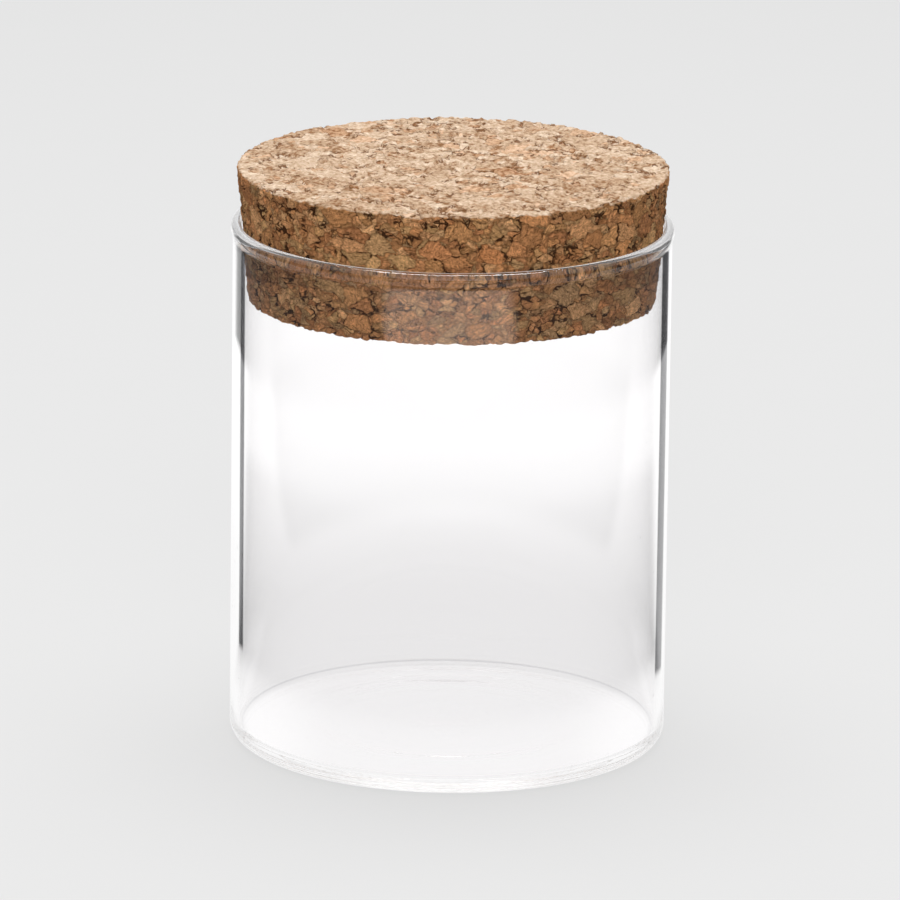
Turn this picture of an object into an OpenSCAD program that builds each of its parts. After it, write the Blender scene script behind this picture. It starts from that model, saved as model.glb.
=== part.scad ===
// Small glass storage jar with a tapered cork stopper.
// The glass stands on z = 0 with its axis on Z, and the stopper is seated in its mouth.

/* [Glass wall] */
// Outer diameter of the straight wall
glass_d = 65; // [40:0.5:120]
// Height of the rim above the table
rim_h = 79; // [50:0.5:160]
// Thickness of the drawn wall
wall_t = 1.3; // [1:0.1:3]

/* [Lip] */
// How far the fire-polished lip swells out past the wall
lip_swell = 0.3; // [0.1:0.05:1.5]
// How many times flatter the swell is than the rounding of the rim
lip_flatness = 2.5; // [1.5:0.1:5]

/* [Base] */
// Thickness of the floor over the foot ring
floor_t = 2.1; // [1:0.1:4]
// Radius of the heel between the wall and the table
heel_r = 2.6; // [1:0.1:6]
// Radius of the inside corner between the wall and the floor
corner_r = 1.4; // [0.6:0.1:4]
// Width of the flat ring that the jar stands on
foot_w = 3; // [2:0.1:9]
// Width of the slope between that ring and the level middle of the kick-up
slope_w = 8; // [4:0.5:16]
// Rise of the kick-up's level middle
kick_h = 0.5; // [0.1:0.1:2]
// Height of the ring that the forming flame leaves on the floor
ring_h = 0.05; // [0:0.05:1]
// Width of that ring
ring_w = 5; // [2:0.5:8]
// Distance from the edge of the kick-up in to the middle of that ring
ring_inset = 8; // [3:0.5:12]
// Height of the button at the centre, where the base was closed
button_h = 0.25; // [0:0.05:1]
// Diameter of that button
button_d = 17; // [6:0.5:30]

/* [Cork stopper] */
// How far the seated stopper stands above the rim
cork_stand = 8.5; // [3:0.1:25]
// How far the seated stopper reaches down into the mouth
cork_depth = 11.3; // [5:0.1:30]
// Slope of the stopper's side from upright, in degrees
cork_taper = 5.1; // [2:0.1:8]
// Gap between the seated stopper and the bead
seat_gap = 0.05; // [0.02:0.01:0.2]
// Radius of the stopper's worn edges
cork_edge = 0.5; // [0.2:0.1:1.2]

/* [Cork grain] */
// Diameter of the ball that fits an open pore between granules
pore_d = 3.2; // [1.6:0.1:5]
// Depth of the deepest pores
pore_depth = 0.5; // [0.1:0.05:0.7]
// Number of pores on the top face
top_pores = 44; // [0:1:80]
// Number of pores round the side
side_pores = 60; // [0:1:90]

/* [Hidden] */
$fn = 96;

glass_r = glass_d / 2;
bore_r = glass_r - wall_t;

// The rim is a round bead whose inner side lines up with the bore. It takes in most of the swell.
bead_swell = 0.85 * lip_swell;
bead_r = (wall_t + bead_swell) / 2;
bead_mid_r = bore_r + bead_r;
bead_mid_z = rim_h - bead_r;

// Below the bead the lip swells out in a flatter arc, and a hollow arc of the same radius leads
// back to the wall. Each arc meets the next as a tangent.
lip_r = glass_r + lip_swell;
swell_r = bead_r * lip_flatness;
swell_mid_r = lip_r - swell_r;
swell_top_angle = acos((bead_mid_r - swell_mid_r) / (swell_r - bead_r));
swell_mid_z = bead_mid_z - (swell_r - bead_r) * sin(swell_top_angle);
hollow_mid_r = glass_r + swell_r;
swell_low_angle = acos((hollow_mid_r - swell_mid_r) / (2 * swell_r));
hollow_z = swell_mid_z - 2 * swell_r * sin(swell_low_angle);
wedge_reach = 3;
swell_top = [swell_mid_r, swell_mid_z] + swell_r * [cos(swell_top_angle), sin(swell_top_angle)];
swell_low = [swell_mid_r, swell_mid_z] + swell_r * [cos(swell_low_angle), -sin(swell_low_angle)];

// The floor runs from the axis to the inside corner, and the kick-up ends inside the foot ring.
floor_edge_r = bore_r - corner_r;
foot_r = glass_r - heel_r;
kick_r = foot_r - foot_w;
ring_r = kick_r - ring_inset;
floor_steps = 40;
kick_steps = 32;
past = 1;

// The stopper's side passes the bead at the seat gap, and widens upwards by its taper.
cork_bottom_z = rim_h - cork_depth;
cork_top_z = rim_h + cork_stand;
cork_seat_r = bead_mid_r - (bead_r + seat_gap) / cos(cork_taper);
edge_steps = 5;
pore_r = pore_d / 2;
golden_angle = 180 * (3 - sqrt(5));

// A smooth hump of height 1 at x = 0 that falls to 0 at half_w to either side.
function hump(x, half_w) = abs(x) < half_w ? (1 + cos(180 * x / half_w)) / 2 : 0;

// Heights of the underside and of the floor at a distance from the axis.
function under_z(r) = kick_h * hump(max(0, r - kick_r + slope_w), slope_w);
function floor_z(r) =
    floor_t + under_z(r) + ring_h * hump(r - ring_r, ring_w / 2) + button_h * hump(r, button_d / 2);

// Radius of the stopper's side at a height.
function cork_r(z) = cork_seat_r + (z - bead_mid_z) * tan(cork_taper);

// Points along an arc, from one angle to another.
function arc(middle, r, from, to, steps) =
    [for (i = [0:steps]) let (a = from + (to - from) * i / steps) middle + r * [cos(a), sin(a)]];

// Depth of one pore, from half to full depth in no visible order.
function pore_sink(i) = let (turn = i * sqrt(2)) pore_depth * (1 + turn - floor(turn)) / 2;

module outer_outline() {
    translate([0, heel_r])
        square([glass_r, hollow_z - heel_r]);
    square([foot_r, heel_r]);
    translate([foot_r, heel_r])
        circle(r = heel_r);
}

module inside_outline() {
    radii = [for (i = [floor_steps:-1:0]) floor_edge_r * i / floor_steps];
    polygon(concat(
        [[0, rim_h], [floor_edge_r, rim_h]],
        [for (r = radii) [r, floor_z(r)]]
    ));
    translate([floor_edge_r, floor_t + corner_r])
        circle(r = corner_r);
    translate([floor_edge_r - corner_r / 2, floor_t + corner_r])
        square([corner_r * 3 / 2, rim_h]);
}

module kick_up_outline() {
    radii = [for (i = [kick_steps:-1:0]) kick_r * i / kick_steps];
    polygon(concat(
        [[0, -past], [kick_r, -past]],
        [for (r = radii) [r, under_z(r)]]
    ));
}

module swell_outline() {
    bead_mid = [bead_mid_r, bead_mid_z];
    intersection() {
        translate([swell_mid_r, swell_mid_z])
            circle(r = swell_r);
        polygon([
            bead_mid,
            bead_mid + wedge_reach * (swell_low - bead_mid),
            bead_mid + wedge_reach * (swell_top - bead_mid)
        ]);
    }
}

module hollow_outline() {
    difference() {
        polygon([
            [bore_r, hollow_z],
            [glass_r, hollow_z],
            swell_low,
            [bead_mid_r, bead_mid_z],
            [bore_r, bead_mid_z]
        ]);
        translate([hollow_mid_r, hollow_z])
            circle(r = swell_r);
    }
}

module lip_outline() {
    translate([bead_mid_r, bead_mid_z])
        circle(r = bead_r);
    swell_outline();
    hollow_outline();
}

module glass_jar() {
    color("lightcyan", 0.35)
        rotate_extrude() {
            difference() {
                outer_outline();
                inside_outline();
                kick_up_outline();
            }
            lip_outline();
        }
}

module cork_plug() {
    low_r = cork_r(cork_bottom_z) - cork_edge;
    high_r = cork_r(cork_top_z) - cork_edge;
    rotate_extrude()
        polygon(concat(
            [[0, cork_bottom_z]],
            arc([low_r, cork_bottom_z + cork_edge], cork_edge, -90, -cork_taper, edge_steps),
            arc([high_r, cork_top_z - cork_edge], cork_edge, -cork_taper, 90, edge_steps),
            [[0, cork_top_z]]
        ));
}

module top_pore(i) {
    reach = (cork_r(cork_top_z) - cork_edge) * sqrt((i + 0.5) / top_pores);
    rotate([0, 0, i * golden_angle])
        translate([reach, 0, cork_top_z + pore_r - pore_sink(i)])
            sphere(r = pore_r);
}

module side_pore(i) {
    z = cork_bottom_z + (cork_top_z - cork_bottom_z) * (i + 0.5) / side_pores;
    rotate([0, 0, i * golden_angle])
        translate([cork_r(z) + pore_r - pore_sink(i), 0, z])
            sphere(r = pore_r);
}

module cork_stopper() {
    color("peru")
        difference() {
            cork_plug();
            for (i = [0:1:top_pores - 1]) top_pore(i);
            for (i = [0:1:side_pores - 1]) side_pore(i);
        }
}

glass_jar();
cork_stopper();
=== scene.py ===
import math
import bmesh
import bpy
from mathutils import Matrix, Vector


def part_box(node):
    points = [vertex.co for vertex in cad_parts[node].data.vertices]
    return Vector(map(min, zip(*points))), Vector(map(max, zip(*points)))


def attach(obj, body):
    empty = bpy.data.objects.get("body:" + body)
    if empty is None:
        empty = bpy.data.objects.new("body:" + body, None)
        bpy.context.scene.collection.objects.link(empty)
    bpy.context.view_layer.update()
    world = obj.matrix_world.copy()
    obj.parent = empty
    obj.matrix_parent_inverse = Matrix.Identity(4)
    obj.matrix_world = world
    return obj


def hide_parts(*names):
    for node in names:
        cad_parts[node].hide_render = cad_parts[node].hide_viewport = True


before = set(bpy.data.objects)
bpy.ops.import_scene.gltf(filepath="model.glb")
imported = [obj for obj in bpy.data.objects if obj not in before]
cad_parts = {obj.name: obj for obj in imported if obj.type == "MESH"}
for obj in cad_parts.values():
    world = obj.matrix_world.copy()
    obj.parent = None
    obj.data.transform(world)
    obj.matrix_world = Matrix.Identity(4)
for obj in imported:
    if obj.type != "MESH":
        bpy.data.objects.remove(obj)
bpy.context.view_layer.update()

# The glass jar.
# One piece of clear drawn tube: the rim is melted back into a round bead, and the base is
# closed in a flame, which leaves a soft heel, a low kick-up, a ring and a button in the floor.

glass_low, glass_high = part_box("glass_jar")
rim_z = glass_high[2]
lip_r = (glass_high[0] - glass_low[0]) / 2
wall = 0.0013
lip_swell = 0.0003
lip_flatness = 2.5
floor_thickness = 0.0021
heel_r = 0.0026
corner_r = 0.0014
foot_width = 0.003
slope_width = 0.008
kick_height = 0.0005
ring_height = 0.00005
ring_width = 0.005
ring_inset = 0.008
button_height = 0.00025
button_r = 0.0085
outline_step = 0.0018
glass_steps_round = 256
glass_tint = (0.993, 0.987, 0.990)
# Painted reflections: the dark lines tinted down both sides of the wall.
painted_dark_edge_left = (0.676, 0.733)
painted_dark_edge_right = (0.718, 0.831)
painted_dark_edge_tint = (0.02, 0.02, 0.022)
shadow_tint = (0.98, 0.98, 0.98)
shadow_edge_tint = (0.70, 0.70, 0.70)
painted_dark_edge_low = (0.0160, 0.0123)
# Painted shade that the lip throws on the wall under it.
lip_shade_facing = (0.15, 0.6)
lip_shade_tint = (0.25, 0.26, 0.30)
# Painted reflection: the thin grey line tinted round the floor's inside corner.
painted_corner_line_z = (0.0024, 0.0026)
painted_corner_line_tint = (0.72, 0.72, 0.74)
dust_scale = 900.0

glass_r = lip_r - lip_swell
bore_r = glass_r - wall
bead_r = (wall + 0.85 * lip_swell) / 2
bead_mid_r = bore_r + bead_r
bead_mid_z = rim_z - bead_r
swell_r = bead_r * lip_flatness
swell_mid_r = lip_r - swell_r
swell_top = math.acos((bead_mid_r - swell_mid_r) / (swell_r - bead_r))
swell_mid_z = bead_mid_z - (swell_r - bead_r) * math.sin(swell_top)
hollow_mid_r = glass_r + swell_r
swell_low = math.acos((hollow_mid_r - swell_mid_r) / (2 * swell_r))
hollow_z = swell_mid_z - 2 * swell_r * math.sin(swell_low)
floor_edge_r = bore_r - corner_r
foot_r = glass_r - heel_r
kick_r = foot_r - foot_width
ring_r = kick_r - ring_inset


def hump(distance, half_width):
    if abs(distance) >= half_width:
        return 0.0
    return (1 + math.cos(math.pi * distance / half_width)) / 2


def under_z(r):
    return kick_height * hump(max(0.0, r - kick_r + slope_width), slope_width)


def floor_z(r):
    ring = ring_height * hump(r - ring_r, ring_width / 2)
    button = button_height * hump(r, button_r)
    return floor_thickness + under_z(r) + ring + button


def arc(middle_r, middle_z, radius, start, end, steps):
    turns = [math.radians(start + (end - start) * i / steps) for i in range(steps + 1)]
    return [(middle_r + radius * math.cos(t), middle_z + radius * math.sin(t)) for t in turns]


def straight(start, end, step):
    count = max(2, round(math.dist(start, end) / step))
    shares = [i / count for i in range(1, count)]
    return [(start[0] + (end[0] - start[0]) * s, start[1] + (end[1] - start[1]) * s) for s in shares]


def add_node(tree, kind, inputs=None, **settings):
    made = tree.nodes.new(kind)
    for name, value in settings.items():
        setattr(made, name, value)
    for name, value in (inputs or {}).items():
        if isinstance(value, bpy.types.NodeSocket):
            tree.links.new(value, made.inputs[name])
        else:
            made.inputs[name].default_value = value
    return made


def sum_of(tree, kind, first, second, operation):
    node = add_node(tree, kind, {0: first, 1: second}, operation=operation)
    return node.outputs[0]


def math_node(tree, operation, first, second=0.0):
    return sum_of(tree, "ShaderNodeMath", first, second, operation)


def start_geometry_tree(name, sizes):
    tree = bpy.data.node_groups.new(name, "GeometryNodeTree")
    tree.interface.new_socket("Geometry", in_out="INPUT", socket_type="NodeSocketGeometry")
    for size_name, socket_type in sizes:
        tree.interface.new_socket(size_name, in_out="INPUT", socket_type=socket_type)
    tree.interface.new_socket("Geometry", in_out="OUTPUT", socket_type="NodeSocketGeometry")
    return tree, tree.nodes.new("NodeGroupInput").outputs


def end_geometry_tree(tree, geometry, material):
    smooth = add_node(tree, "GeometryNodeSetShadeSmooth", {"Geometry": geometry})
    plain = add_node(tree, "GeometryNodeRealizeInstances", {"Geometry": smooth.outputs[0]})
    dressed = add_node(tree, "GeometryNodeSetMaterial", {"Geometry": plain.outputs[0], "Material": material})
    add_node(tree, "NodeGroupOutput", {0: dressed.outputs[0]})


def turning_tree():
    tree, given = start_geometry_tree(
        "turned form", [("Steps Round", "NodeSocketInt"), ("Material", "NodeSocketMaterial")]
    )
    outline = given["Geometry"]
    rows = add_node(tree, "GeometryNodeAttributeDomainSize", {"Geometry": outline}).outputs["Point Count"]
    columns = math_node(tree, "ADD", given["Steps Round"], 1)
    grid = add_node(tree, "GeometryNodeMeshGrid", {"Vertices X": rows, "Vertices Y": columns})
    index = add_node(tree, "GeometryNodeInputIndex").outputs[0]
    row = math_node(tree, "FLOOR", math_node(tree, "DIVIDE", index, columns))
    column = math_node(tree, "MODULO", index, columns)
    turn = math_node(tree, "DIVIDE", math_node(tree, "MULTIPLY", column, math.tau), given["Steps Round"])
    outline_point = add_node(
        tree,
        "GeometryNodeSampleIndex",
        {"Geometry": outline, "Index": row},
        data_type="FLOAT_VECTOR",
    )
    position = add_node(tree, "GeometryNodeInputPosition").outputs[0]
    tree.links.new(position, outline_point.inputs["Value"])
    turned = add_node(
        tree,
        "ShaderNodeVectorRotate",
        {"Vector": outline_point.outputs[0], "Angle": turn},
        rotation_type="Z_AXIS",
    )
    placed = add_node(
        tree, "GeometryNodeSetPosition", {"Geometry": grid.outputs["Mesh"], "Position": turned.outputs[0]}
    )
    closed = add_node(
        tree, "GeometryNodeMergeByDistance", {"Geometry": placed.outputs[0], "Distance": 0.000001}
    )
    end_geometry_tree(tree, closed.outputs[0], given["Material"])
    return tree


def apply_tree(piece, tree, values):
    modifier = piece.modifiers.new(tree.name, "NODES")
    modifier.node_group = tree
    for item in tree.interface.items_tree:
        if item.in_out == "INPUT" and item.name in values:
            modifier[item.identifier] = values[item.name]
    apply_modifiers(piece)


def apply_modifiers(piece):
    evaluated = piece.evaluated_get(bpy.context.evaluated_depsgraph_get())
    finished = bpy.data.meshes.new_from_object(evaluated)
    piece.modifiers.clear()
    piece.data = finished
    shaped = bmesh.new()
    shaped.from_mesh(finished)
    bmesh.ops.recalc_face_normals(shaped, faces=shaped.faces)
    shaped.to_mesh(finished)
    shaped.free()


def turned_piece(name, outline, steps_round, material):
    mesh = bpy.data.meshes.new(name)
    mesh.from_pydata([(r, 0, z) for r, z in outline], [], [])
    piece = bpy.data.objects.new(name, mesh)
    bpy.context.scene.collection.objects.link(piece)
    apply_tree(piece, turning, {"Steps Round": steps_round, "Material": material})
    return piece


def start_material(name):
    material = bpy.data.materials.new(name)
    material.use_nodes = True
    tree = material.node_tree
    tree.nodes.clear()
    return material, tree


def map_range(tree, value, low, high, start=0.0, end=1.0, smooth=False):
    node = add_node(
        tree,
        "ShaderNodeMapRange",
        {"Value": value, "From Min": low, "From Max": high, "To Min": start, "To Max": end},
        interpolation_type="SMOOTHSTEP" if smooth else "LINEAR",
    )
    return node.outputs[0]


def mix_colour(tree, share, first, second, blend="MIX"):
    node = add_node(tree, "ShaderNodeMix", {0: share}, data_type="RGBA", blend_type=blend)
    for socket, value in ((node.inputs[6], first), (node.inputs[7], second)):
        if isinstance(value, bpy.types.NodeSocket):
            tree.links.new(value, socket)
        else:
            socket.default_value = (*value, 1)
    return node.outputs[2]


def noise(tree, place, scale, detail=2.0):
    return add_node(tree, "ShaderNodeTexNoise", {"Vector": place, "Scale": scale, "Detail": detail}).outputs


def split(tree, vector):
    return add_node(tree, "ShaderNodeSeparateXYZ", {0: vector}).outputs


def band(tree, value, low, high, soft):
    """1 where the value lies between low and high, with soft ends; low and high may be sockets."""
    rise = math_node(tree, "SUBTRACT", value, low)
    fall = math_node(tree, "SUBTRACT", high, value)
    inside = math_node(tree, "MINIMUM", rise, fall)
    return map_range(tree, inside, -soft, soft, smooth=True)


def glass_material():
    material, tree = start_material("clear drawn glass")
    place = add_node(tree, "ShaderNodeTexCoord").outputs["Object"]
    across, back, height = split(tree, place)
    distance = math_node(tree, "SQRT", math_node(
        tree, "ADD", math_node(tree, "MULTIPLY", across, across), math_node(tree, "MULTIPLY", back, back)
    ))
    specks = map_range(tree, noise(tree, place, dust_scale, 1.0)[0], 0.77, 0.80, 0.0, 0.25)

    # Painted reflections: dark lines tinted down both sides of the wall by facing, set a little apart on the left and
    # right.
    facing = add_node(tree, "ShaderNodeLayerWeight", {"Blend": 0.5}).outputs["Facing"]
    low = map_range(tree, across, -0.02, 0.02, painted_dark_edge_left[0], painted_dark_edge_right[0])
    high = map_range(tree, across, -0.02, 0.02, painted_dark_edge_left[1], painted_dark_edge_right[1])
    painted_dark_edge = band(tree, facing, low, high, 0.007)
    outside = map_range(tree, distance, glass_r - 0.5 * wall, glass_r - 0.4 * wall)
    line_low = map_range(tree, across, -0.02, 0.02, *painted_dark_edge_low)
    on_wall = band(tree, height, line_low, bead_mid_z, 0.0008)
    painted_dark_edge = math_node(tree, "MULTIPLY", painted_dark_edge, math_node(tree, "MULTIPLY", outside, on_wall))
    # Painted reflection: a thin grey line tinted round the floor's inside corner.
    inside = map_range(tree, distance, floor_edge_r + 0.0002, floor_edge_r + 0.0004)
    inside = math_node(tree, "MULTIPLY", inside, map_range(tree, distance, bore_r + 0.0002, bore_r + 0.0001))
    painted_corner_line = math_node(tree, "MULTIPLY", band(tree, height, *painted_corner_line_z, 0.00004), inside)
    # Painted shade: a grey band that the lip throws on the wall under it, wider and darker towards the sides, fading
    # out at the outline itself.
    shade_low = map_range(tree, facing, *lip_shade_facing, hollow_z - 0.0009, hollow_z - 0.0032)
    lip_shade = band(tree, height, shade_low, hollow_z + 0.0004, 0.0003)
    lip_shade = math_node(tree, "MULTIPLY", lip_shade, map_range(tree, facing, *lip_shade_facing, 0.22, 0.85))
    lip_shade = math_node(tree, "MULTIPLY", lip_shade, map_range(tree, facing, 0.66, 0.70, 1.0, 0.0))
    lip_shade = math_node(tree, "MULTIPLY", lip_shade, outside)
    tint = mix_colour(tree, painted_dark_edge, glass_tint, painted_dark_edge_tint)
    tint = mix_colour(tree, lip_shade, tint, lip_shade_tint)
    tint = mix_colour(tree, painted_corner_line, tint, painted_corner_line_tint)

    glass = add_node(
        tree,
        "ShaderNodeBsdfPrincipled",
        {
            "Base Color": tint,
            "Roughness": specks,
            "IOR": 1.47,
            "Transmission Weight": 1.0,
        },
    )
    path = add_node(tree, "ShaderNodeLightPath").outputs
    passing = math_node(tree, "MAXIMUM", path["Is Shadow Ray"], path["Is Diffuse Ray"])
    grazing = add_node(tree, "ShaderNodeLayerWeight", {"Blend": 0.35}).outputs["Facing"]
    shade = mix_colour(tree, grazing, shadow_tint, shadow_edge_tint)
    clear = add_node(tree, "ShaderNodeBsdfTransparent", {"Color": shade})
    mixed = add_node(tree, "ShaderNodeMixShader", {0: passing, 1: glass.outputs[0], 2: clear.outputs[0]})
    add_node(tree, "ShaderNodeOutputMaterial", {"Surface": mixed.outputs[0]})
    return material


floor_radii = [floor_edge_r * i / 90 for i in range(91)]
kick_radii = [kick_r * i / 50 for i in range(50, -1, -1)]
glass_outline = (
    [(r, floor_z(r)) for r in floor_radii[:-1]]
    + arc(floor_edge_r, floor_thickness + corner_r, corner_r, -90, 0, 12)
    + straight((bore_r, floor_thickness + corner_r), (bore_r, bead_mid_z), outline_step)
    + arc(bead_mid_r, bead_mid_z, bead_r, 180, math.degrees(swell_top), 40)
    + arc(swell_mid_r, swell_mid_z, swell_r, math.degrees(swell_top), -math.degrees(swell_low), 20)[1:]
    + arc(hollow_mid_r, hollow_z, swell_r, 180 - math.degrees(swell_low), 180, 12)[1:]
    + straight((glass_r, hollow_z), (glass_r, heel_r), outline_step)
    + arc(foot_r, heel_r, heel_r, 0, -90, 20)
    + straight((foot_r, 0.0), (kick_r, 0.0), outline_step / 2)
    + [(r, under_z(r)) for r in kick_radii]
)
turning = turning_tree()
clear_glass = glass_material()
jar = turned_piece("jar_glass", glass_outline, glass_steps_round, clear_glass)
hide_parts("glass_jar")
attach(jar, "jar")

# The cork stopper.
# Granules of cork bark, 2 to 5 mm across, are bonded into a block, which is sawn and sanded to a
# tapered plug. Cracks and pores stay open between the granules, and the sanded top is palest.

cork_low, cork_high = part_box("cork_stopper")
cork_taper = math.radians(5.1)
seat_gap = 0.00005
cork_seat_r = bead_mid_r - (bead_r + seat_gap) / math.cos(cork_taper)
cork_top_r = cork_seat_r + (cork_high[2] - bead_mid_z) * math.tan(cork_taper)
cork_bottom_r = cork_seat_r + (cork_low[2] - bead_mid_z) * math.tan(cork_taper)
cork_edge = 0.0005
cork_voxel = 0.00036
granule_size = 0.0034
chip_size = 0.0016
broken_share = 0.6
warp_size = 0.0030
warp_reach = 0.0026
ragged_size = 0.0007
ragged_reach = 0.0005
crack_width = 0.00024
shade_width = 0.0003
streak_size = 0.0013
crumb_size = 0.0004
fissure_width = 0.022
flatness = (1.0, 1.0, 1.4)
granule_colours = (
    (0.43, 0.185, 0.075),
    (0.55, 0.27, 0.108),
    (0.49, 0.21, 0.086),
    (0.66, 0.36, 0.165),
    (0.50, 0.21, 0.082),
    (0.57, 0.32, 0.135),
    (0.47, 0.27, 0.130),
)
crack_colour = (0.060, 0.025, 0.010)
sanded_colours = ((0.29, 0.145, 0.068), (0.54, 0.37, 0.24), (0.69, 0.51, 0.365), (0.86, 0.71, 0.56))
sanded_crack_colour = (0.20, 0.085, 0.035)
sanded_red = (0.95, 0.68, 0.48)


def vector_node(tree, operation, first, second):
    return sum_of(tree, "ShaderNodeVectorMath", first, second, operation)


def scaled(tree, vector, factor):
    return add_node(tree, "ShaderNodeVectorMath", {0: vector, "Scale": factor}, operation="SCALE").outputs[0]


def mix_number(tree, share, first, second):
    return add_node(tree, "ShaderNodeMix", {0: share, 2: first, 3: second}).outputs[0]


def cells(tree, place, size, feature):
    return add_node(
        tree, "ShaderNodeTexVoronoi", {"Vector": place, "Scale": 1 / size}, feature=feature
    ).outputs


def pushed(tree, place, size, reach, detail):
    """The place, moved up to half of reach by a noise of that size, so that borders wander."""
    drift = vector_node(tree, "SUBTRACT", noise(tree, place, 1 / size, detail)["Color"], (0.5, 0.5, 0.5))
    return vector_node(tree, "ADD", place, scaled(tree, drift, reach))


def granule_pattern(tree, place):
    """Granules, of which some are broken into chips: a random vector, border distance and grain."""
    layered = vector_node(tree, "MULTIPLY", place, flatness)
    bent = pushed(tree, pushed(tree, layered, warp_size, warp_reach, 2.0), ragged_size, ragged_reach, 3.0)
    large = cells(tree, bent, granule_size, "F1")["Color"]
    small = cells(tree, bent, chip_size, "F1")["Color"]
    large_edge = cells(tree, bent, granule_size, "DISTANCE_TO_EDGE")["Distance"]
    small_edge = cells(tree, bent, chip_size, "DISTANCE_TO_EDGE")["Distance"]
    large_gap = math_node(tree, "MULTIPLY", large_edge, granule_size)
    small_gap = math_node(tree, "MULTIPLY", small_edge, chip_size)
    broken = math_node(tree, "LESS_THAN", split(tree, large)[2], broken_share)
    chance = add_node(tree, "ShaderNodeMix", {0: broken}, data_type="VECTOR")
    tree.links.new(large, chance.inputs[4])
    tree.links.new(small, chance.inputs[5])
    gap = mix_number(tree, broken, large_gap, math_node(tree, "MINIMUM", large_gap, small_gap))
    turned = add_node(
        tree,
        "ShaderNodeVectorRotate",
        {"Vector": bent, "Rotation": scaled(tree, chance.outputs[1], 9.0)},
        rotation_type="EULER_XYZ",
    ).outputs[0]
    return {"chance": split(tree, chance.outputs[1]), "gap": gap, "turned": turned}


def crack_mask(tree, place, pattern):
    """Dark gaps along some borders, and open voids where several meet."""
    opening = noise(tree, place, 1 / 0.0018, 3.0)[0]
    width = map_range(tree, opening, 0.42, 0.68, -0.5 * crack_width, crack_width)
    crack = map_range(tree, math_node(tree, "SUBTRACT", pattern["gap"], width), 0.00005, -0.00008)
    hollow = map_range(tree, noise(tree, place, 1 / 0.0020, 4.0)[1], 0.64, 0.67)
    near_border = map_range(tree, pattern["gap"], 0.0007, 0.0004)
    return math_node(tree, "MAXIMUM", crack, math_node(tree, "MULTIPLY", hollow, near_border))


def relief_tree():
    tree, given = start_geometry_tree(
        "cork relief",
        [
            ("Granule Relief", "NodeSocketFloat"),
            ("Crack Depth", "NodeSocketFloat"),
            ("Crumb Depth", "NodeSocketFloat"),
            ("Seat", "NodeSocketFloat"),
            ("Material", "NodeSocketMaterial"),
        ],
    )
    place = add_node(tree, "GeometryNodeInputPosition").outputs[0]
    normal = add_node(tree, "GeometryNodeInputNormal").outputs[0]
    pattern = granule_pattern(tree, place)
    granule_sink = math_node(tree, "MULTIPLY", pattern["chance"][0], given["Granule Relief"])
    crack_sink = math_node(tree, "MULTIPLY", crack_mask(tree, place, pattern), given["Crack Depth"])
    crumb = map_range(tree, noise(tree, place, 1 / 0.0009, 2.0)[0], 0.35, 0.65)
    crumb_sink = math_node(tree, "MULTIPLY", crumb, given["Crumb Depth"])
    sink = math_node(tree, "ADD", granule_sink, math_node(tree, "ADD", crack_sink, crumb_sink))
    from_seat = math_node(tree, "ABSOLUTE", math_node(tree, "SUBTRACT", split(tree, place)[2], given["Seat"]))
    sink = math_node(tree, "SUBTRACT", sink, map_range(tree, from_seat, 0.0008, 0.0018, 0.0, 0.0001))
    shift = scaled(tree, normal, math_node(tree, "MULTIPLY", sink, -1.0))
    sunk = add_node(tree, "GeometryNodeSetPosition", {"Geometry": given["Geometry"], "Offset": shift})
    end_geometry_tree(tree, sunk.outputs[0], given["Material"])
    return tree


def colour_steps(tree, value, colours):
    ramp = add_node(tree, "ShaderNodeValToRGB", {0: value})
    stops = ramp.color_ramp.elements
    while len(stops) < len(colours):
        stops.new(0.5)
    for i, colour in enumerate(colours):
        stops[i].position = i / (len(colours) - 1)
        stops[i].color = (*colour, 1)
    return ramp.outputs[0]


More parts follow.
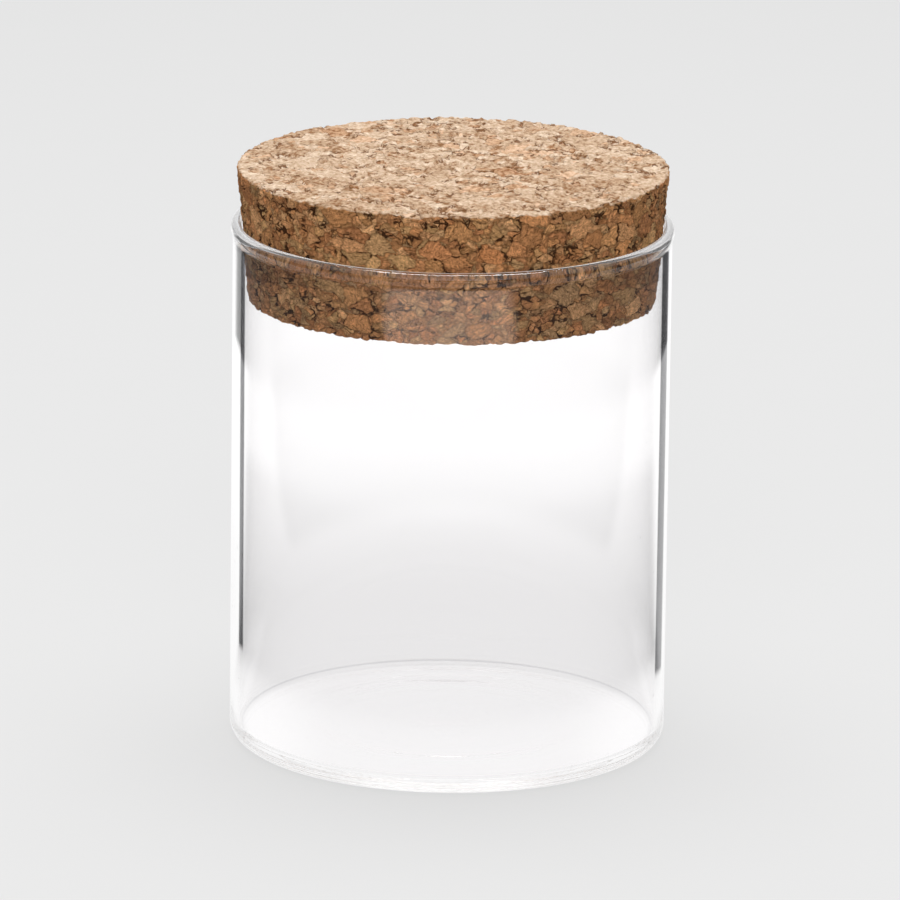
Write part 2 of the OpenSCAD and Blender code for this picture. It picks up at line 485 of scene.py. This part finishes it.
def cork_material():
    material, tree = start_material("agglomerated cork")
    place = add_node(tree, "ShaderNodeTexCoord").outputs["Object"]
    pattern = granule_pattern(tree, place)
    chance = pattern["chance"]
    cracks = crack_mask(tree, place, pattern)
    # Painted shade: each granule is darker near its border, where shade falls between granules.
    painted_seam_shade = map_range(tree, pattern["gap"], 0.0, shade_width, 0.6, 1.0)

    stretched = vector_node(tree, "MULTIPLY", pattern["turned"], (1.0, 6.0, 1.5))
    growth = noise(tree, stretched, 1 / streak_size, 3.0)[0]
    crumbs = noise(tree, place, 1 / crumb_size, 4.0)[0]
    flake = noise(tree, vector_node(tree, "MULTIPLY", pattern["turned"], (1.0, 2.4, 1.3)), 1 / 0.0017, 2.0)[0]
    ridge = math_node(tree, "ABSOLUTE", math_node(tree, "SUBTRACT", flake, 0.5))
    fissures = map_range(tree, ridge, 0.3 * fissure_width, fissure_width, 0.45, 1.0)
    granule = colour_steps(tree, chance[0], granule_colours)
    granule = mix_colour(tree, 1.0, granule, map_range(tree, chance[1], 0.0, 1.0, 0.78, 1.22), "MULTIPLY")
    granule = mix_colour(tree, 1.0, granule, map_range(tree, growth, 0.3, 0.7, 0.68, 1.32), "MULTIPLY")
    granule = mix_colour(tree, 1.0, granule, map_range(tree, crumbs, 0.36, 0.64, 0.78, 1.22), "MULTIPLY")
    granule = mix_colour(tree, 1.0, granule, math_node(tree, "MULTIPLY", painted_seam_shade, fissures), "MULTIPLY")
    side = mix_colour(tree, cracks, granule, crack_colour)

    fine = noise(tree, place, 1 / 0.0007, 4.0)[0]
    shade = math_node(tree, "ADD", map_range(tree, fine, 0.0, 1.0, 0.08, 0.92), map_range(tree, chance[1], 0.0, 1.0, -0.12, 0.12))
    shade = math_node(tree, "MULTIPLY", shade, map_range(tree, ridge, 0.0, fissure_width, 0.82, 1.0))
    sanded = colour_steps(tree, map_range(tree, shade, 0.30, 0.72), sanded_colours)
    redder = map_range(tree, chance[0], 0.80, 0.84, 0.0, 0.45)
    sanded = mix_colour(tree, redder, sanded, sanded_red, "MULTIPLY")
    sanded = mix_colour(tree, math_node(tree, "MULTIPLY", cracks, 0.9), sanded, sanded_crack_colour)

    up = split(tree, add_node(tree, "ShaderNodeNewGeometry").outputs["Normal"])[2]
    near_top = map_range(tree, split(tree, place)[2], cork_high[2] - 0.0012, cork_high[2] - 0.0006)
    on_top = math_node(tree, "MULTIPLY", near_top, map_range(tree, up, 0.35, 0.75))
    colour = mix_colour(tree, on_top, side, sanded)

    tilt = math_node(tree, "MULTIPLY", split(tree, pattern["turned"])[0], 0.18)
    grooves = math_node(tree, "MULTIPLY", growth, 0.00020)
    depth = math_node(tree, "ADD", tilt, math_node(tree, "ADD", grooves, math_node(tree, "MULTIPLY", crumbs, 0.00014)))
    depth = math_node(tree, "SUBTRACT", depth, math_node(tree, "MULTIPLY", cracks, 0.0002))
    relief = add_node(tree, "ShaderNodeBump", {"Strength": 0.8, "Distance": 1.0, "Height": depth})
    surface = add_node(
        tree,
        "ShaderNodeBsdfPrincipled",
        {
            "Base Color": colour,
            "Roughness": map_range(tree, growth, 0.3, 0.7, 0.95, 0.8),
            "Specular IOR Level": 0.1,
            "Normal": relief.outputs[0],
        },
    )
    add_node(tree, "ShaderNodeOutputMaterial", {"Surface": surface.outputs[0]})
    return material


cork_outline = (
    [(0.0, cork_low[2])]
    + arc(cork_bottom_r - cork_edge, cork_low[2] + cork_edge, cork_edge, -90, -math.degrees(cork_taper), 6)
    + arc(cork_top_r - cork_edge, cork_high[2] - cork_edge, cork_edge, -math.degrees(cork_taper), 90, 6)
    + [(0.0, cork_high[2])]
)
cork = cork_material()
stopper = turned_piece("stopper_cork", cork_outline, 256, cork)
evening = stopper.modifiers.new("even faces", "REMESH")
evening.mode = "VOXEL"
evening.voxel_size = cork_voxel
apply_modifiers(stopper)
apply_tree(
    stopper,
    relief_tree(),
    {
        "Granule Relief": 0.0002,
        "Crack Depth": 0.0003,
        "Crumb Depth": 0.0003,
        "Seat": bead_mid_z,
        "Material": cork,
    },
)
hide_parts("cork_stopper")
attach(stopper, "stopper")

# The table.
# A plain pale sweep of paper under and behind the jar. Rays that have met the glass see it only
# as a painted glow: painted light through the glass, whiter away from the jar, and painted reflections in it.

table_r = 6.0
table_gap = 0.00005
paper = (0.80, 0.80, 0.80)
paper_glow = 0.82
glow_share = 0.74
# Levels of painted light and painted reflection at which the paper glows for rays from the glass.
seen_under = 0.94
seen_rim = 1.04
seen_near = 0.87
seen_far = 1.16
seen_rise = (0.07, 0.19)
seen_beside = 0.96
beside_r = (0.0325, 0.034)
beside_reach = (0.075, 0.060)
mirrored_from = 0.06
mirrored_front = 0.12
mirrored_strip = 0.6
mirrored_near = 0.97
mirrored_back = 1.0
mirrored_turn = (0.75, 1.1)
painted_card_low = (-0.180, -0.40)
painted_card_high = (0.165, -0.25)
painted_card_colour = (1.75, 1.42, 1.25)


def table_material():
    material, tree = start_material("pale paper")
    place = add_node(tree, "ShaderNodeTexCoord").outputs["Object"]
    across, back, _ = split(tree, place)
    path = add_node(tree, "ShaderNodeLightPath").outputs
    tone = mix_colour(
        tree, 1.0, paper, map_range(tree, noise(tree, place, 60.0)[0], 0.3, 0.7, 0.995, 1.005), "MULTIPLY"
    )
    lit = add_node(tree, "ShaderNodeBsdfDiffuse", {"Color": tone})

    # Painted light seen through the glass: dimmer under and close to the jar, whiter away from it.
    spot = add_node(tree, "ShaderNodeVectorMath", {0: place}, operation="LENGTH").outputs["Value"]
    aside = math_node(tree, "ABSOLUTE", across)
    around = map_range(tree, spot, *seen_rise, seen_near, seen_far, smooth=True)
    beside = math_node(tree, "MULTIPLY", map_range(tree, aside, *beside_r), map_range(tree, spot, *beside_reach))
    around = mix_number(tree, beside, around, seen_beside)
    under = map_range(tree, aside, 0.016, 0.028, seen_under, seen_rim, smooth=True)
    painted_glow_through_glass = mix_number(tree, map_range(tree, spot, foot_r, foot_r + heel_r), under, around)
    # A painted reflection: a bright warm card lying in front of the jar, seen only in reflections.
    card = math_node(
        tree,
        "MULTIPLY",
        band(tree, across, painted_card_low[0], painted_card_high[0], 0.022),
        band(tree, back, painted_card_low[1], painted_card_high[1], 0.004),
    )
    # Painted reflections: dark ground in front of the jar but for a pale strip, pale behind it and close to it.
    sideways = math_node(tree, "MAXIMUM", math_node(tree, "SUBTRACT", aside, 0.02), 0.001)
    steepness = math_node(tree, "DIVIDE", back, sideways)
    steepness = math_node(tree, "MULTIPLY", steepness, map_range(tree, spot, 0.238, 0.252, 1.0, 0.4))
    front = mix_number(tree, band(tree, spot, 0.185, 0.240, 0.012), mirrored_front, mirrored_strip)
    painted_reflection = map_range(tree, steepness, *mirrored_turn, front, mirrored_back, smooth=True)
    painted_reflection = mix_number(tree, map_range(tree, spot, 0.050, 0.075), mirrored_near, painted_reflection)

    one_bounce = band(tree, path["Glossy Depth"], 0.5, 1.5, 0.1)
    away = map_range(tree, spot, mirrored_from, mirrored_from + 0.01)
    reflected = math_node(tree, "SUBTRACT", path["Is Glossy Ray"], path["Is Transmission Ray"])
    reflected = math_node(tree, "MAXIMUM", reflected, math_node(tree, "MULTIPLY", one_bounce, away))
    level = mix_number(tree, reflected, painted_glow_through_glass, painted_reflection)
    level = mix_number(tree, path["Is Camera Ray"], level, paper_glow)
    seen = mix_colour(tree, math_node(tree, "MULTIPLY", card, reflected), (1.0, 1.0, 1.0), painted_card_colour)
    level = math_node(tree, "MAXIMUM", level, math_node(tree, "MULTIPLY", card, reflected))
    share = math_node(tree, "MULTIPLY", path["Is Camera Ray"], glow_share)
    share = math_node(tree, "MAXIMUM", share, path["Is Transmission Ray"])
    share = math_node(tree, "MAXIMUM", share, path["Is Glossy Ray"])
    glow = add_node(tree, "ShaderNodeEmission", {"Strength": level, "Color": seen})
    whole = add_node(tree, "ShaderNodeMixShader", {0: share, 1: lit.outputs[0], 2: glow.outputs[0]})
    add_node(tree, "ShaderNodeOutputMaterial", {"Surface": whole.outputs[0]})
    return material


table_mesh = bpy.data.meshes.new("table")
rounded = bmesh.new()
below = Matrix.Translation((0, 0, -table_gap))
bmesh.ops.create_circle(rounded, cap_ends=True, segments=96, radius=table_r, matrix=below)
rounded.to_mesh(table_mesh)
rounded.free()
table_mesh.materials.append(table_material())
table = bpy.data.objects.new("table", table_mesh)
bpy.context.scene.collection.objects.link(table)

# The studio's light.
# A large soft box overhead, a broad soft light in front above the camera, and a dim room.


def soft_box(name, place, aim, width, height, watts):
    lamp = bpy.data.lights.new(name, "AREA")
    lamp.shape = "RECTANGLE"
    lamp.size = width
    lamp.size_y = height
    lamp.energy = watts
    holder = bpy.data.objects.new(name, lamp)
    towards = Matrix.Translation(aim).translation - Matrix.Translation(place).translation
    holder.matrix_world = Matrix.Translation(place) @ towards.to_track_quat("-Z", "Y").to_matrix().to_4x4()
    bpy.context.scene.collection.objects.link(holder)
    holder.visible_glossy = False
    holder.visible_transmission = False


soft_box("overhead box", (0.0, 0.15, 1.0), (0.0, 0.0, 0.05), 0.9, 0.9, 10.0)
soft_box("front box", (0.0, -1.1, 0.75), (0.0, 0.0, 0.05), 0.7, 0.5, 6.5)

# A glowing card just above the overhead box. It is no lamp: it lights nothing and is seen only in reflections, where
# it paints a bright line along the lip.
card_mesh = bpy.data.meshes.new("overhead card")
flat = bmesh.new()
above = Matrix.Translation((0, 0.15, 1.02))
bmesh.ops.create_grid(flat, x_segments=1, y_segments=1, size=0.45, matrix=above)
flat.to_mesh(card_mesh)
flat.free()
card_material, card_tree = start_material("overhead card")
card_path = add_node(card_tree, "ShaderNodeLightPath").outputs
card_seen = math_node(card_tree, "SUBTRACT", card_path["Is Glossy Ray"], card_path["Is Transmission Ray"])
card_level = map_range(card_tree, card_seen, 0.0, 1.0, 1.9, 14.0)
card_glow = add_node(card_tree, "ShaderNodeEmission", {"Strength": card_level})
card_clear = add_node(card_tree, "ShaderNodeBsdfTransparent")
card_whole = add_node(
    card_tree,
    "ShaderNodeMixShader",
    {0: card_path["Is Glossy Ray"], 1: card_clear.outputs[0], 2: card_glow.outputs[0]},
)
add_node(card_tree, "ShaderNodeOutputMaterial", {"Surface": card_whole.outputs[0]})
card_mesh.materials.append(card_material)
card = bpy.data.objects.new("overhead card", card_mesh)
bpy.context.scene.collection.objects.link(card)

world = bpy.data.worlds.new("room")
bpy.context.scene.world = world
world.use_nodes = True
room = world.node_tree
room.nodes.clear()
room_path = add_node(room, "ShaderNodeLightPath").outputs
seen = math_node(room, "MAXIMUM", room_path["Is Camera Ray"], room_path["Is Glossy Ray"])
seen = math_node(room, "MAXIMUM", seen, room_path["Is Transmission Ray"])
room_level = map_range(room, seen, 0.0, 1.0, 0.11, 0.95)
backdrop = add_node(room, "ShaderNodeBackground", {"Color": (1, 1, 1, 1), "Strength": room_level})
add_node(room, "ShaderNodeOutputWorld", {"Surface": backdrop.outputs[0]})

# The camera.
# A long lens level with the photograph's: it looks 15.1 degrees down at the jar's middle, and
# is turned a little about its own line of sight.

camera_distance = 1.4
camera_down = math.radians(15.1)
camera_turn = math.radians(0.72)
camera_aim = (0.0, 0.0, 0.04396)
photo_width = 900
jar_radius_pixels = 218.5
camera_data = bpy.data.cameras.new("camera")
camera_data.sensor_width = 36.0
camera_data.lens = camera_data.sensor_width * jar_radius_pixels * camera_distance / glass_r / photo_width
camera_data.clip_end = 50.0
camera = bpy.data.objects.new("camera", camera_data)
camera.matrix_world = (
    Matrix.Translation(camera_aim)
    @ Matrix.Rotation(math.radians(90) - camera_down, 4, "X")
    @ Matrix.Rotation(camera_turn, 4, "Z")
    @ Matrix.Translation((0, 0, camera_distance))
)
bpy.context.scene.collection.objects.link(camera)
bpy.context.scene.camera = camera
bpy.context.scene.view_settings.view_transform = "Standard"
bpy.context.scene.cycles.max_bounces = 160
bpy.context.scene.cycles.glossy_bounces = 160
bpy.context.scene.cycles.transmission_bounces = 60
